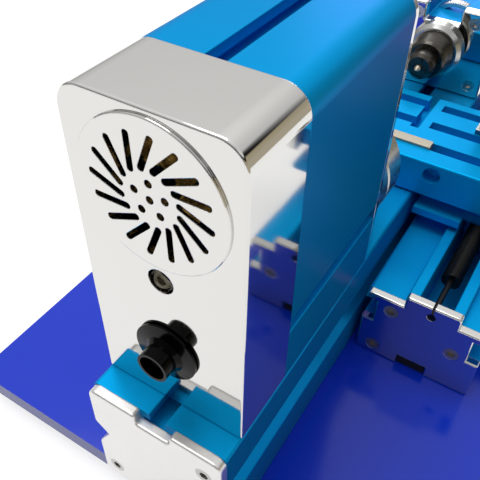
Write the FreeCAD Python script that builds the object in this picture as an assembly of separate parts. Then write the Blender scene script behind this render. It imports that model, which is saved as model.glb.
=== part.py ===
import FreeCAD, Part
import math
import os

V = FreeCAD.Vector

# Small modular bench machine: a belt-driven spindle tower and a tailstock on a profile bed,
# with a screw-fed slide and a slotted cross table beside it, all on one base plate.
# Millimetres. While modelling, x = 0 is the spindle's plane (x grows towards the operator),
# y = 0 is the front of the tower's polished cap (y grows towards the tailstock) and
# z = 0 is the top of the bed. Every piece is shifted to the part's origin when it is written.

# Clearances
gap = 0.3
fit = 0.05
slip = 0.1

# Base plate and feet
base_width = 190.0
base_length = 330.0
base_thick = 8.0
base_left = -97.0
base_corner = 6.0
foot_radius = 11.0
foot_height = 8.0
foot_inset = 20.0
base_bolt_radius = 2.5
base_bolt_head = 5.0
slide_bolt_grip = 6.0

# Profile bed and the cast plates that close profile ends
bed_width = 50.0
bed_height = 50.0
bed_front = -8.0
notch_top = 17.8
notch_root = 22.4
notch_bottom = 31.0
notch_depth = 5.2
slot_width = 6.0
slot_lip = 3.0
tee_width = 11.0
tee_depth = 4.0
end_thick = 3.4
end_round = 0.9
end_notch_width = 13.0
end_notch_depth = 4.2
end_notch_round = 1.2
end_screw_side = 19.0
end_screw_drop = 9.5
end_screw_rise = 7.8
bed_wall = 6.0
bed_side_wall = 5.0
profile_round = 1.5
screw_radius = 1.6
screw_head = 3.0
screw_head_depth = 1.8
screw_length = 9.0

# Spindle tower
spindle_height = 25.0
tower_width = 50.0
tower_height = 102.7
tower_corner = 7.5
cap_depth = 25.8
cap_wall = 3.0
cap_edge = 0.7
body_depth = 62.2
face_thick = 2.8
groove_low = 22.3
groove_high = 28.0
groove_depth = 2.6
top_tee_depth = 3.0
body_wall = 4.0
body_web = 7.0
stud_radius = 2.5
stud_grip = 8.0
stud_inset = 12.0
face_screw_side = 5.0
face_screw_rise = 8.0
face_screw_drop = 5.7
vent_radius = 21.3
vent_rise = 0.8
vent_edge = 0.3
vent_margin = 1.5
vent_spigot = 18.6
vent_slots = 16
vent_slot_length = 10.7
vent_slot_width = 1.9
vent_slot_ring = 12.35
vent_slot_lean = 21.4
vent_holes = 5
vent_hole_radius = 1.1
vent_hole_ring = 4.5
cap_screw_above_middle = 0.5
cap_screw_bore = 4.0
cap_boss_wall = 1.2
cap_screw_grip = 2.0
cap_screw_depth = 5.0
inlet_radius = 5.5
inlet_barrel = 4.0
inlet_from_cap = 32.0
inlet_rise = 1.6
inlet_bore = 2.9
inlet_depth = 8.0
inlet_floor = 1.5
inlet_pin = 1.0

# Motor, belt and spindle
motor_radius = 15.0
motor_length = 56.0
motor_inset = 3.5
motor_chamfer = 2.0
motor_boss = 5.0
motor_boss_rise = 2.5
motor_shaft_radius = 2.5
motor_shaft_depth = 40.0
shaft_end = 1.0
pulley_front = 8.0
pulley_width = 9.0
pulley_rim = 1.0
pulley_rim_rise = 0.9
motor_pulley_radius = 8.0
spindle_pulley_radius = 13.0
belt_width = 6.5
belt_thick = 1.4
spindle_radius = 6.0
spindle_bore = 3.5
spindle_neck = 4.4
spindle_flange = 11.0
spindle_flange_thick = 2.6
spindle_step = 1.5
bearing_radius = 14.0
bearing_width = 8.0
bearing_inset = 4.0
bearing_race = 2.0
bearing_shield = 2.6
bearing_groove = 0.6
knob_radius = 10.2
knob_rim = 0.7
knob_cone = 0.6
knob_root = 6.4
knob_root_rise = 1.2
knob_stand_off = 0.4
knob_tube_radius = 5.0
knob_tube_bore = 4.1
knob_tube_front = 7.3
knob_tube_depth = 3.5

# Lathe chuck
chuck_radius = 23.8
chuck_edge = 0.8
chuck_ring_thick = 9.0
chuck_body_thick = 12.0
chuck_hub_radius = 9.0
chuck_bore = 6.0
chuck_web = 3.0
jaw_width = 7.0
jaw_tip = 4.0
jaw_length = 14.5
jaw_rise = 7.5
jaw_step = 5.0
jaw_step_length = 8.0
tommy_radius = 2.2
tommy_depth = 7.0
tommy_holes = 4

# Lengthwise slide
rail_centre = 54.4
slide_centre = 52.2
slide_width = 48.6
slide_front = 89.5
slide_length = 178.0
slide_shoulder = -16.0
rail_top = -11.0
rail_half = 11.0
channel_half = 6.6
channel_floor = -31.0
slide_notch_top = 3.4
slide_notch_bottom = 14.8
slide_notch_depth = 4.8
slide_screw_height = -15.6
feed_screw_radius = 4.0
feed_journal_radius = 2.6
feed_tip_radius = 1.7
feed_tip_inset = 0.4
slit_width = 1.0
foot_slot_width = 12.0
foot_slot_depth = 5.0
slide_screw_upper = (-15.1, -5.7)
slide_screw_lower = (-19.2, 5.4)
slide_screw_other = (11.3, 19.9)

# Saddle and cross table
saddle_front = 136.0
saddle_length = 55.0
saddle_half = 27.2
saddle_foot_half = 24.2
saddle_plate_top = -5.0
saddle_plate_thick = 3.3
saddle_relief = 10.0
saddle_mouth_depth = 8.0
guide_foot_half = 12.0
guide_half = 17.0
guide_top = 7.5
guide_right = 85.1
cross_screw_height = 2.5
cross_screw_radius = 3.0
cross_trough_half = 5.0
feed_nut_half = 9.0
feed_nut_wall = 3.0
guide_plate_side = 3.0
guide_plate_rise = 2.0
guide_plate_round = 2.0
cross_screw_inset = 4.0
table_left = -18.0
table_right = 72.0
table_front = 137.5
table_depth = 52.5
table_top = 17.4
table_foot = 0.8
table_slot_width = 5.6
table_slot_lip = 3.2
table_tee_width = 9.5
table_tee_depth = 3.0
table_slot_first = 11.8
table_slot_pitch = 16.3
cross_slot_left = 12.0
cross_slot_right = 15.8
cross_slot_front = 22.5
slot_land_right = 19.6
slot_nut_left = 5.6
slot_nut_length = 20.0
slot_nut_rise = 1.2
table_nut_left = 48.0
face_hole_radius = 3.7
face_hole_left = 31.0
face_hole_height = 11.7
face_hole_depth = 5.0

# Tool post
post_left = 38.0
post_width = 28.0
post_depth = 24.0
post_height = 19.0
post_slot_low = 2.6
post_slot_high = 10.6
post_slot_depth = 9.0
post_bolt_radius = 2.5
post_bolt_back = 1.0
post_screw_rise = 3.0
post_nut_radius = 4.6
post_nut_height = 4.5
post_stud_over = 1.5

# Handwheels
wheel_radius = 14.0
wheel_thick = 8.0
wheel_hub = 7.0
wheel_hub_length = 5.0
wheel_edge = 1.0
wheel_rim = 3.4
wheel_dish = 2.0
wheel_boss = 5.4
handle_radius = 3.0
handle_pin = 1.6
handle_seat = 5.0
handle_length = 14.0
wheel_stand_off = 0.5

# Tailstock
tail_front = 230.0
tail_length = 55.0
tail_plate_thick = 5.5
tail_top = 43.4
tail_notch_middle = -1.8
tail_notch_half = 9.0
tail_notch_floor = 35.0
tail_foot = 0.4
tail_corner = 3.0
tail_screw_side = 14.5
tail_screw_height = 38.0
tail_foot_screw_side = 6.0
tail_foot_screw_rise = 6.5
quill_radius = 8.0
quill_stand_out = 0.6
quill_length = 42.0
quill_chamfer = 0.6
quill_nose = 10.0
quill_screw_gap = 2.0
quill_screw_radius = 3.0
lock_height = 12.0
lock_back = 30.0
lock_stud_radius = 2.5
lock_stud_length = 8.0
lock_stem_radius = 4.0
lock_stem_length = 5.0
lock_thick = 9.0
lock_lobe_ring = 6.9
lock_lobe_radius = 3.7
lock_waist_radius = 2.2

# Drill chuck on the quill
drill_nose_radius = 6.6
drill_nose_length = 8.0
drill_nose_bevel = 1.4
drill_core_radius = 7.6
drill_flange_radius = 9.5
drill_flange_thick = 3.0
drill_length = 31.0
drill_sleeve_front = 9.6
drill_sleeve_back = 10.8
drill_ring_radius = 13.6
drill_ring_thick = 8.5
drill_jaw_radius = 1.5
drill_jaw_length = 10.0
drill_jaw_lean = 12.0
drill_jaw_offset = 2.85
drill_jaw_stroke = 3.0
drill_jaw_tip = 0.5
centre_radius = 1.5
centre_reach = 4.0
centre_depth = 14.0

# Places worked out from the sizes above
motor_height = tower_height - vent_radius - vent_margin
cap_screw_height = (spindle_height + motor_height) / 2 + cap_screw_above_middle
pocket_low = spindle_height + bearing_radius + body_wall
pocket_high = motor_height - motor_radius - body_wall
handle_ring = (wheel_boss + wheel_radius - wheel_rim) / 2
bed_half = bed_width / 2
bed_back = bed_front + base_length
body_front = cap_depth
body_back = cap_depth + body_depth
face_front = body_back + face_thick
slide_back = slide_front + slide_length
tail_back = tail_front + tail_length
saddle_back = saddle_front + saddle_length
table_back = table_front + table_depth
table_middle = table_front + table_depth / 2
base_right = base_left + base_width
base_floor = -bed_height - base_thick
cross_wheel_face = guide_right + end_thick + wheel_stand_off + wheel_hub_length + wheel_thick
reach_right = cross_wheel_face - wheel_dish + handle_length
origin = V((base_left + reach_right) / 2, (bed_front + bed_back) / 2, base_floor - foot_height)

Y_FORWARD = V(0, -1, 0)
Y_BACK = V(0, 1, 0)
X_OUT = V(1, 0, 0)
UP = V(0, 0, 1)


def on_plane(axis, a, b, along):
    """Point with coordinates a, b square to an axis, at a place along it."""
    places = {"x": V(along, a, b), "y": V(a, along, b), "z": V(a, b, along)}
    return places[axis]


def wire(corners, axis, along):
    """Closed outline through corners (a, b, radius), each rounded by a tangent arc."""
    edges = []
    tangents = []
    count = len(corners)
    for i in range(count):
        here = V(corners[i][0], corners[i][1], 0)
        back = V(corners[i - 1][0], corners[i - 1][1], 0).sub(here).normalize()
        ahead = corners[(i + 1) % count]
        ahead = V(ahead[0], ahead[1], 0).sub(here).normalize()
        radius = corners[i][2]
        if radius == 0:
            tangents.append((here, None, here))
            continue
        half = back.getAngle(ahead) / 2
        reach = radius / math.tan(half)
        middle = (back + ahead).normalize() * (radius / math.sin(half) - radius)
        tangents.append((here + back * reach, here + middle, here + ahead * reach))
    for i in range(count):
        start, middle, end = tangents[i]
        following = tangents[(i + 1) % count][0]
        if middle is not None:
            points = [on_plane(axis, p.x, p.y, along) for p in (start, middle, end)]
            edges.append(Part.Arc(*points).toShape())
        if end.distanceToPoint(following) > 1e-6:
            edges.append(Part.makeLine(on_plane(axis, end.x, end.y, along),
                                       on_plane(axis, following.x, following.y, along)))
    return Part.Wire(edges)


def profile(corners, axis, low, high):
    """Solid of one outline, drawn square to an axis and carried from low to high along it."""
    travel = on_plane(axis, 0, 0, high - low)
    return Part.Face(wire(corners, axis, low)).extrude(travel)


def mirrored(half):
    """Outline symmetric about a = 0, from its right half listed from top to bottom."""
    return half + [(-a, b, radius) for a, b, radius in reversed(half)]


def block(x0, x1, y0, y1, z0, z1):
    return Part.makeBox(x1 - x0, y1 - y0, z1 - z0, V(x0, y0, z0))


def rod(radius, start, direction, length):
    return Part.makeCylinder(radius, length, start, direction)


def turned(corners, start, direction):
    """Solid turned from an outline of (radius, distance along the axis) points."""
    points = [V(r, 0, h) for r, h in corners]
    face = Part.Face(Part.makePolygon(points + points[:1]))
    solid = face.revolve(V(0, 0, 0), UP, 360)
    solid.Placement = FreeCAD.Placement(start, FreeCAD.Rotation(UP, direction))
    return solid


def joined(first, *others):
    return first.fuse(list(others)).removeSplitter()


def about(shape, centre, axis, degrees):
    turned_copy = shape.copy()
    turned_copy.rotate(centre, axis, degrees)
    return turned_copy


def hexagon(x, y, radius):
    """Six-sided outline round a point, with its corners on a circle."""
    angles = [math.radians(60 * i) for i in range(6)]
    return [(x + radius * math.cos(angle), y + radius * math.sin(angle), 0) for angle in angles]


def socket_screw(radius, head, depth, length, face_point, outward):
    """Socket-head screw whose head top is at a point and faces outward."""
    body = turned([(0, 0), (head, 0), (head, depth), (radius, depth), (radius, length), (0, length)],
                  face_point, outward * -1)
    socket = profile(hexagon(0, 0, radius), "z", 0, depth * 0.7)
    socket.Placement = FreeCAD.Placement(face_point, FreeCAD.Rotation(UP, outward * -1))
    return body.cut(socket)


def screw_hole(radius, head, depth, length, face_point, outward):
    """Hole and counterbore that a flush socket-head screw sits in."""
    return turned([(0, 0), (head, 0), (head, depth), (radius, depth), (radius, length), (0, length)],
                  face_point, outward * -1)


def write(name, shape):
    shape = shape.copy()
    shape.translate(origin * -1)
    shape.exportStep("parts/" + name + ".step")


def group(solids):
    return Part.makeCompound(solids)


# Base plate, rubber feet and the bolts that hold the bed and the slide down

def bolt_places():
    """Where bolts come up through the base: along the bed's and the slide's foot slots."""
    bed_margin = base_length / 6
    slide_margin = slide_length / 5
    return [V(0, bed_front + bed_margin, base_floor), V(0, bed_back - bed_margin, base_floor),
            V(slide_centre, slide_front + slide_margin, base_floor),
            V(slide_centre, slide_back - slide_margin, base_floor)]


def foot_places():
    return [V(x, y, base_floor)
            for x in (base_left + foot_inset, base_right - foot_inset)
            for y in (bed_front + foot_inset, bed_back - foot_inset)]


def bolt_reach(place):
    """Bed bolts end in a tee nut; slide bolts go on through the foot slot into the slide."""
    if place.x == slide_centre:
        return base_thick + foot_slot_depth + slide_bolt_grip
    return base_thick + slot_lip


def countersunk_bolt(place, clearance):
    """Flat-head bolt up through the base, or with some clearance the hole it goes through."""
    reach = bolt_reach(place)
    radius = base_bolt_radius + clearance
    head = base_bolt_head + clearance
    return turned([(0, 0), (head, 0), (radius, head - radius), (radius, reach), (0, reach)], place, UP)


def base_plate():
    corners = [(base_left, bed_front, base_corner), (base_right, bed_front, base_corner),
               (base_right, bed_back, base_corner), (base_left, bed_back, base_corner)]
    plate = profile(corners, "z", base_floor, -bed_height)
    return plate.cut([countersunk_bolt(place, fit) for place in bolt_places()])


def rubber_feet():
    taper = foot_radius * 0.85
    outline = [(0, 0), (foot_radius, 0), (taper, -foot_height), (0, -foot_height)]
    return group([turned(outline, place, UP) for place in foot_places()])


def base_bolts():
    bolts = []
    for place in bolt_places():
        bolt = countersunk_bolt(place, 0)
        if place.x != slide_centre:
            floor = slot_lip - bed_height
            tee = block(place.x - tee_width / 2 + slip, place.x + tee_width / 2 - slip,
                        place.y - tee_width / 2, place.y + tee_width / 2, floor, floor + tee_depth - gap)
            bolt = joined(bolt, tee)
        bolts.append(bolt)
    return group(bolts)


# Bed: one extruded profile with a slot above and below and a dovetail notch in each side

def bed_outline():
    half = bed_half
    slot = slot_width / 2
    tee = tee_width / 2
    right = [(tee, -slot_lip - tee_depth, 0), (tee, -slot_lip, 0), (slot, -slot_lip, 0), (slot, 0, 0.4),
             (half, 0, 1.5), (half, -notch_top, 1.5), (half - notch_depth, -notch_root, 0.6),
             (half, -notch_bottom, 1.5), (half, -bed_height, 1.0), (slot, -bed_height, 0.4),
             (slot, -bed_height + slot_lip, 0), (tee, -bed_height + slot_lip, 0),
             (tee, -bed_height + slot_lip + tee_depth, 0)]
    return mirrored(right)


def bed_profile():
    bed = profile(bed_outline(), "y", bed_front, bed_back)
    core_half = bed_half - notch_depth - bed_side_wall
    top = -slot_lip - tee_depth - bed_wall
    low = -bed_height - top
    core = [(-core_half, top, profile_round), (core_half, top, profile_round),
            (core_half, low, profile_round), (-core_half, low, profile_round)]
    bed = bed.cut(profile(core, "y", bed_front, bed_back))
    studs = [rod(stud_radius, V(0, y, -slot_lip), UP, slot_lip) for y in stud_places()]
    ports = [rod(screw_radius, V(x, y, z), Y_BACK, screw_length)
             for x, z in bed_screw_spots() for y in (bed_front, bed_back - screw_length)]
    return bed.cut(ports + studs)


def bed_screw_spots():
    return [(end_screw_side, -end_screw_drop), (-end_screw_side, end_screw_rise - bed_height)]


def bed_end_outline():
    half = bed_half
    notch = end_notch_width / 2
    right = [(notch, -end_notch_depth, end_notch_round), (notch, 0, end_notch_round), (half, 0, 3),
             (half, -notch_top, 2.5), (half - notch_depth, -notch_root, 0.6), (half, -notch_bottom, 2.5),
             (half, -bed_height, 1)]
    return mirrored(right)


def front_edges(plate, y):
    """Edges of a plate's outer face, apart from those round its holes."""
    picked = []
    for edge in plate.Edges:
        box = edge.BoundBox
        flat = abs(box.YMin - y) < 1e-6 and abs(box.YMax - y) < 1e-6
        round_hole = edge.isClosed()
        if flat and not round_hole:
            picked.append(edge)
    return picked


def end_plate(outline, inner, outer, screws):
    """Cast end plate: the profile's outline with a softened outer edge and flush screw holes."""
    low, high = min(inner, outer), max(inner, outer)
    outward = Y_FORWARD if outer < inner else Y_BACK
    plate = profile(outline, "y", low, high)
    plate = plate.makeFillet(end_round, front_edges(plate, outer))
    holes = [screw_hole(screw_radius, screw_head, screw_head_depth, high - low, V(x, outer, z), outward)
             for x, z in screws]
    return plate.cut(holes)


def end_screws(outer, outward, spots):
    return [socket_screw(screw_radius, screw_head, screw_head_depth, screw_length, V(x, outer, z), outward)
            for x, z in spots]


# Spindle tower: cast cap, extruded body, face plate and what they hold

def tower_outline(inset):
    half = tower_width / 2 - inset
    top = tower_height - inset
    corner = tower_corner - inset
    return [(-half, inset, 0.6), (half, inset, 0.6), (half, top, corner), (-half, top, corner)]


def at_axis(height, y):
    return V(0, y, height)


def headstock_cap():
    """Polished cap: a deep shell with the vent's seat, a screw boss and the spindle's hole."""
    cap = profile(tower_outline(0), "y", 0, cap_depth)
    cap = cap.makeFillet(cap_edge, front_edges(cap, 0))
    cap = cap.cut(profile(tower_outline(cap_wall), "y", cap_wall, cap_depth))
    boss_start = cap_wall / 2
    boss = rod(cap_screw_bore + cap_boss_wall, at_axis(cap_screw_height, boss_start), Y_BACK,
               cap_depth - boss_start)
    holes = [rod(vent_spigot + fit, at_axis(motor_height, 0), Y_BACK, cap_wall),
             rod(spindle_neck + gap, at_axis(spindle_height, 0), Y_BACK, cap_wall),
             rod(cap_screw_bore, at_axis(cap_screw_height, 0), Y_BACK, cap_screw_depth + screw_head_depth),
             rod(screw_radius, at_axis(cap_screw_height, 0), Y_BACK, cap_depth)]
    return joined(cap, boss).cut(holes)


def cap_screw():
    head_face = at_axis(cap_screw_height, cap_screw_depth)
    length = cap_depth + cap_screw_grip
    return socket_screw(screw_radius, screw_head, screw_head_depth, length, head_face, Y_FORWARD)


def vent_slot(index):
    """One straight slot of the vent, leaning off the radius like a pinwheel's blade."""
    angle = 90 - index * 360 / vent_slots
    half = vent_slot_length / 2 - vent_slot_width / 2
    width = vent_slot_width / 2
    corners = [(-half - width, -width, width * 0.98), (half + width, -width, width * 0.98),
               (half + width, width, width * 0.98), (-half - width, width, width * 0.98)]
    slot = profile(corners, "y", -vent_rise, cap_wall)
    slot = about(slot, V(0, 0, 0), Y_FORWARD, angle - vent_slot_lean)
    ring = math.radians(angle)
    slot.translate(V(vent_slot_ring * math.cos(ring), 0, motor_height + vent_slot_ring * math.sin(ring)))
    return slot


def vent_disc():
    """Raised round grille: a lipped disc in the cap's seat, cut by slots and a ring of holes."""
    start = at_axis(motor_height, -vent_rise)
    back = vent_rise + cap_wall
    disc = turned([(0, 0), (vent_radius - vent_edge, 0), (vent_radius, vent_edge), (vent_radius, vent_rise),
                   (vent_spigot, vent_rise), (vent_spigot, back), (0, back)], start, Y_BACK)
    cuts = [vent_slot(i) for i in range(vent_slots)]
    cuts.append(rod(vent_hole_radius, start, Y_BACK, back))
    for i in range(vent_holes):
        angle = math.radians(90 + i * 360 / vent_holes)
        offset = V(vent_hole_ring * math.cos(angle), 0, vent_hole_ring * math.sin(angle))
        cuts.append(rod(vent_hole_radius, start + offset, Y_BACK, back))
    return disc.cut(cuts)


def face_screw_spots():
    side = tower_width / 2 - face_screw_side
    return [(x, z) for x in (side, -side) for z in (face_screw_rise, tower_height - face_screw_drop)]


def stud_places():
    return [cap_depth + stud_inset, body_back - stud_inset]


def headstock_body():
    """Extruded tower body: motor bore above, bearing bore below, a groove along each side."""
    half = tower_width / 2
    slot = slot_width / 2
    tee = tee_width / 2
    lip = tower_height - slot_lip
    right = [(tee, lip - top_tee_depth, 0), (tee, lip, 0), (slot, lip, 0), (slot, tower_height, 0.3),
             (half, tower_height, tower_corner), (half, groove_high, 0.3),
             (half - groove_depth, groove_high, 0), (half - groove_depth, groove_low, 0),
             (half, groove_low, 0.3), (half, 0, 0.6)]
    body = profile(mirrored(right), "y", body_front, body_back)
    side = half - body_wall
    corner = body_wall / 2
    pocket = [(body_web, pocket_low, corner), (side, pocket_low, corner),
              (side, pocket_high, corner), (body_web, pocket_high, corner)]
    left_pocket = [(-a, b, radius) for a, b, radius in reversed(pocket)]
    cuts = [rod(motor_radius, at_axis(motor_height, body_front), Y_BACK, body_depth),
            rod(bearing_radius, at_axis(spindle_height, body_front), Y_BACK, body_depth),
            profile(pocket, "y", body_front, body_back),
            profile(left_pocket, "y", body_front, body_back),
            rod(screw_radius, at_axis(cap_screw_height, body_front), Y_BACK, screw_length),
            rod(inlet_barrel, inlet_centre(), X_OUT, inlet_depth + inlet_floor)]
    cuts += [rod(screw_radius, V(x, body_back - screw_length, z), Y_BACK, screw_length)
             for x, z in face_screw_spots()]
    cuts += [rod(stud_radius, V(0, y, 0), UP, stud_grip) for y in stud_places()]
    return body.cut(cuts)


def headstock_studs():
    """Studs with tee feet that hold the tower down in the bed's top slot."""
    studs = []
    for y in stud_places():
        tee = block(-tee_width / 2 + slip, tee_width / 2 - slip, y - tee_width / 2, y + tee_width / 2,
                    -slot_lip - tee_depth + gap, -slot_lip)
        studs.append(joined(tee, rod(stud_radius, V(0, y, -slot_lip), UP, slot_lip + stud_grip)))
    return group(studs)


def headstock_face_plate():
    plate = profile(tower_outline(0), "y", body_back, face_front)
    plate = plate.makeFillet(cap_edge, front_edges(plate, face_front))
    holes = [screw_hole(screw_radius, screw_head, screw_head_depth, face_thick, V(x, face_front, z), Y_BACK)
             for x, z in face_screw_spots()]
    holes.append(rod(spindle_radius + gap, at_axis(spindle_height, body_back), Y_BACK, face_thick))
    return plate.cut(holes)


def inlet_centre():
    return V(-tower_width / 2, cap_depth + inlet_from_cap, (pocket_low + pocket_high) / 2)


def power_inlet():
    """Round low-voltage socket in the tower's back wall: flange, barrel and centre pin."""
    outline = [(inlet_bore, -inlet_rise), (inlet_radius, -inlet_rise), (inlet_radius, 0), (inlet_barrel, 0),
               (inlet_barrel, inlet_depth), (inlet_bore, inlet_depth)]
    shell = turned(outline, inlet_centre(), X_OUT)
    floor = rod(inlet_barrel, inlet_centre() + X_OUT * inlet_depth, X_OUT, inlet_floor)
    pin = rod(inlet_pin, inlet_centre(), X_OUT, inlet_depth)
    return joined(shell, floor, pin)


def motor_front():
    return body_front + motor_inset


def motor():
    """Motor can: chamfered front, bearing boss round the shaft and a bore that the shaft turns in."""
    bore = motor_shaft_radius + fit
    outline = [(bore, -motor_boss_rise), (motor_boss, -motor_boss_rise), (motor_boss, 0),
               (motor_radius - motor_chamfer, 0), (motor_radius, motor_chamfer), (motor_radius, motor_length),
               (0, motor_length), (0, motor_shaft_depth), (bore, motor_shaft_depth)]
    return turned(outline, at_axis(motor_height, motor_front()), Y_BACK)


def motor_shaft():
    start = pulley_front - shaft_end
    end = motor_front() + motor_shaft_depth - gap
    return rod(motor_shaft_radius, at_axis(motor_height, start), Y_BACK, end - start)


def pulley(radius, bore, height):
    """Flanged belt pulley bored for its shaft."""
    rim = radius + belt_thick + pulley_rim_rise
    wide = pulley_width
    outline = [(bore, 0), (rim, 0), (rim, pulley_rim), (radius, pulley_rim), (radius, wide - pulley_rim),
               (rim, wide - pulley_rim), (rim, wide), (bore, wide)]
    return turned(outline, at_axis(height, pulley_front), Y_BACK)


def belt_loop(small, large, low, high):
    """Solid inside an open belt round the two pulleys, from low to high along the spindle."""
    span = motor_height - spindle_height
    lean = math.asin((large - small) / span)
    top = V(small * math.cos(lean), 0, motor_height + small * math.sin(lean))
    bottom = V(large * math.cos(lean), 0, spindle_height + large * math.sin(lean))
    top_left = V(-top.x, 0, top.z)
    bottom_left = V(-bottom.x, 0, bottom.z)
    edges = [Part.Arc(top, at_axis(motor_height + small, 0), top_left).toShape(),
             Part.makeLine(top_left, bottom_left),
             Part.Arc(bottom_left, at_axis(spindle_height - large, 0), bottom).toShape(),
             Part.makeLine(bottom, top)]
    loop = Part.Face(Part.Wire(edges)).extrude(V(0, high - low, 0))
    loop.translate(V(0, low, 0))
    return loop


def drive_belt():
    low = pulley_front + (pulley_width - belt_width) / 2
    high = low + belt_width
    small = motor_pulley_radius + slip
    large = spindle_pulley_radius + slip
    outer = belt_loop(small + belt_thick, large + belt_thick, low, high)
    return outer.cut(belt_loop(small, large, low, high))


def spindle():
    """Hollow spindle: a neck for the knob, journals for the bearings and a flange for the chuck."""
    neck_start = knob_tube_depth - knob_tube_front
    step = pulley_front - spindle_step
    nose = face_front + gap
    outline = [(spindle_bore, neck_start), (spindle_neck, neck_start), (spindle_neck, step),
               (spindle_radius, step), (spindle_radius, nose), (spindle_flange, nose),
               (spindle_flange, nose + spindle_flange_thick), (spindle_bore, nose + spindle_flange_thick)]
    return turned(outline, at_axis(spindle_height, 0), Y_BACK)


def spindle_bearings():
    """Two bearings, each with a shield set back between its races."""
    bore = spindle_radius + fit
    race = bearing_radius - bearing_race
    shield = race - bearing_shield
    outline = [(bore, 0), (shield, 0), (shield, bearing_groove), (race, bearing_groove), (race, 0),
               (bearing_radius, 0), (bearing_radius, bearing_width), (bore, bearing_width)]
    front = at_axis(spindle_height, body_front + bearing_inset)
    back = at_axis(spindle_height, body_back - bearing_inset)
    return group([turned(outline, front, Y_BACK), turned(outline, back, Y_FORWARD)])


def hand_knob():
    """Black round knob on the spindle's end: a thin coned flange with a short open tube."""
    back = knob_stand_off
    cone = back + knob_rim
    root = cone + knob_cone
    floor = knob_tube_front - knob_tube_depth
    outline = [(spindle_neck, back), (knob_radius, back), (knob_radius, cone), (knob_root, root),
               (knob_tube_radius, root + knob_root_rise), (knob_tube_radius, knob_tube_front),
               (knob_tube_bore, knob_tube_front), (knob_tube_bore, floor), (spindle_neck, floor)]
    return turned(outline, at_axis(spindle_height, 0), Y_FORWARD)


# Three-jaw lathe chuck on the spindle's flange

def chuck_start():
    return face_front + gap + spindle_flange_thick


def chuck_front():
    return chuck_start() + chuck_ring_thick + gap + chuck_body_thick


def jaw_floor():
    return chuck_start() + chuck_ring_thick + gap + chuck_web


def chuck_ring():
    """Scroll ring behind the jaws, turned by a bar in the holes round its rim."""
    start = chuck_start() + gap / 2
    thick = chuck_ring_thick - gap / 2
    edge = chuck_radius - chuck_edge
    outline = [(chuck_hub_radius + fit, 0), (edge, 0), (chuck_radius, chuck_edge),
               (chuck_radius, thick - chuck_edge), (edge, thick), (chuck_hub_radius + fit, thick)]
    ring = turned(outline, at_axis(spindle_height, start), Y_BACK)
    middle = at_axis(spindle_height, start + thick / 2)
    holes = []
    for i in range(tommy_holes):
        hole = rod(tommy_radius, middle + V(0, 0, chuck_radius - tommy_depth), UP, tommy_depth)
        holes.append(about(hole, middle, Y_BACK, 45 + i * 360 / tommy_holes))
    return ring.cut(holes)


def jaw_outline():
    """Stepped jaw in a plane through the axis: (place along the spindle, height)."""
    floor = jaw_floor() + fit
    crest = chuck_front() + jaw_rise
    step = crest - jaw_step
    tip = spindle_height + jaw_tip
    shoulder = tip + jaw_step_length
    end = tip + jaw_length
    return [(floor, end, 0), (step, end, 0), (step, shoulder, 0), (crest, shoulder, 0), (crest, tip, 0),
            (floor, tip, 0)]


def chuck_jaw(index):
    jaw = profile(jaw_outline(), "x", -jaw_width / 2, jaw_width / 2)
    tip = block(-jaw_width, jaw_width, jaw_floor(), chuck_front() + jaw_rise,
                spindle_height, spindle_height + jaw_tip)
    wedge = about(tip, at_axis(spindle_height + jaw_tip, 0), Y_BACK, 30)
    wedge = wedge.fuse(about(tip, at_axis(spindle_height + jaw_tip, 0), Y_BACK, -30))
    jaw = jaw.cut(wedge)
    return about(jaw, at_axis(spindle_height, 0), Y_BACK, 120 * index)


def chuck_body():
    """Chuck body: a hub through the scroll ring and a front disc with three jaw slots."""
    start = chuck_start()
    front = chuck_front()
    disc = start + chuck_ring_thick + gap
    edge = chuck_radius - chuck_edge
    outline = [(chuck_bore, start), (chuck_hub_radius, start), (chuck_hub_radius, disc), (edge, disc),
               (chuck_radius, disc + chuck_edge), (chuck_radius, front - chuck_edge), (edge, front),
               (chuck_bore, front)]
    body = turned(outline, at_axis(spindle_height, 0), Y_BACK)
    slot = block(-jaw_width / 2 - fit, jaw_width / 2 + fit, jaw_floor(), front,
                 spindle_height, spindle_height + chuck_radius)
    return body.cut([about(slot, at_axis(spindle_height, 0), Y_BACK, 120 * i) for i in range(3)])


# Lengthwise slide: bed with two rails and a screw channel between them

def slide_flank(side, rounds):
    """Shoulder, notched side and half of the foot slot, to the right for 1 and to the left for -1."""
    shoulder, lip, root, foot = rounds
    edge = slide_centre + side * slide_width / 2
    deep = edge - side * slide_notch_depth
    high = slide_shoulder - slide_notch_top
    low = slide_shoulder - slide_notch_bottom
    inner = slide_centre + side * foot_slot_width / 2
    return [(rail_centre + side * rail_half, slide_shoulder, 0), (edge, slide_shoulder, shoulder),
            (edge, high, lip), (deep, high, root), (deep, low, root), (edge, low, lip),
            (edge, -bed_height, foot), (inner, -bed_height, 0), (inner, foot_slot_depth - bed_height, 0)]


def slide_full_outline(top, rounds):
    """Half a top about the rails' middle, used on both sides, then each flank. The flanks are not alike."""
    right, left = [[(rail_centre + side * a, b, radius) for a, b, radius in top] + slide_flank(side, rounds)
                   for side in (1, -1)]
    return right + left[::-1]


def slide_outline():
    top = [(channel_half, channel_floor, 1), (channel_half, rail_top, 0.5), (rail_half, rail_top, 0.8)]
    return slide_full_outline(top, (1.2, 0.5, 0.3, 1))


def slide_screw_spots():
    """One screw hangs below the shoulder; the other two stand above the base."""
    upper = (rail_centre + slide_screw_upper[0], slide_shoulder + slide_screw_upper[1])
    lower = (rail_centre + slide_screw_lower[0], slide_screw_lower[1] - bed_height)
    other = (rail_centre + slide_screw_other[0], slide_screw_other[1] - bed_height)
    return [upper, lower, other]


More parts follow.
